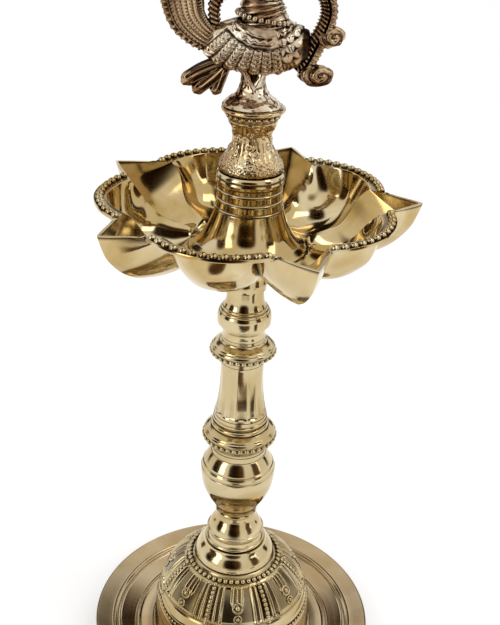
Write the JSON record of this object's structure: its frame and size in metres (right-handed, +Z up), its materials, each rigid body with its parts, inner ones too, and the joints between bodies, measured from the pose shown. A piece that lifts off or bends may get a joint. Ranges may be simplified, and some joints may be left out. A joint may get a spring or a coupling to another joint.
{
  "type": "standing oil lamp",
  "caption": "Tall standing oil lamp with a dished base and chased dome, a turned and fluted stem, a lobed bowl with pointed wick beaks, and a crested bird on top.",
  "frame": {"origin": "on the table, on the axis of the tie rod, under the middle of the base", "axes": "+Z up along the tie rod, +X the way the bird faces and one wick beak points"},
  "size_m": [0.18, 0.176, 0.4549],
  "materials": {
    "brass": "polished",
    "antique_brass": "cast relief, darkened in the hollows and worn bright on the high places",
    "steel": "zinc plated"
  },
  "bodies": {
    "base": {"base_plate": "brass", "base_dome": "brass", "dome_collar": "brass"},
    "stem": {"stem_foot": "brass", "stem_bulb": "brass", "lower_knop": "brass", "fluted_shaft": "brass", "upper_knop": "brass", "stem_neck": "brass"},
    "bowl": {"oil_bowl": "brass", "centre_bell": "brass"},
    "finial": {"finial_pedestal": "antique_brass", "bird_perch": "antique_brass", "bird_body": "antique_brass", "bird_head": "antique_brass", "bird_crest": "antique_brass", "bird_tail": "antique_brass", "tail_curl": "antique_brass", "tail_tuft": "antique_brass", "front_scroll": "antique_brass", "scroll_bud_upper": "antique_brass", "scroll_bud_lower": "antique_brass", "tie_rod": "steel", "base_washer": "steel", "base_nut": "steel", "lock_nut": "steel"}
  },
  "joints": [
    {"name": "stem_turn", "type": "hinge", "parent": "base", "child": "stem", "pos_m": [0, 0, 0.0786], "axis": [0, 0, 1], "continuous": true},
    {"name": "bowl_turn", "type": "hinge", "parent": "stem", "child": "bowl", "pos_m": [0, 0, 0.2517], "axis": [0, 0, 1], "continuous": true},
    {"name": "finial_turn", "type": "hinge", "parent": "bowl", "child": "finial", "pos_m": [0, 0, 0.3194], "axis": [0, 0, 1], "continuous": true}
  ]
}
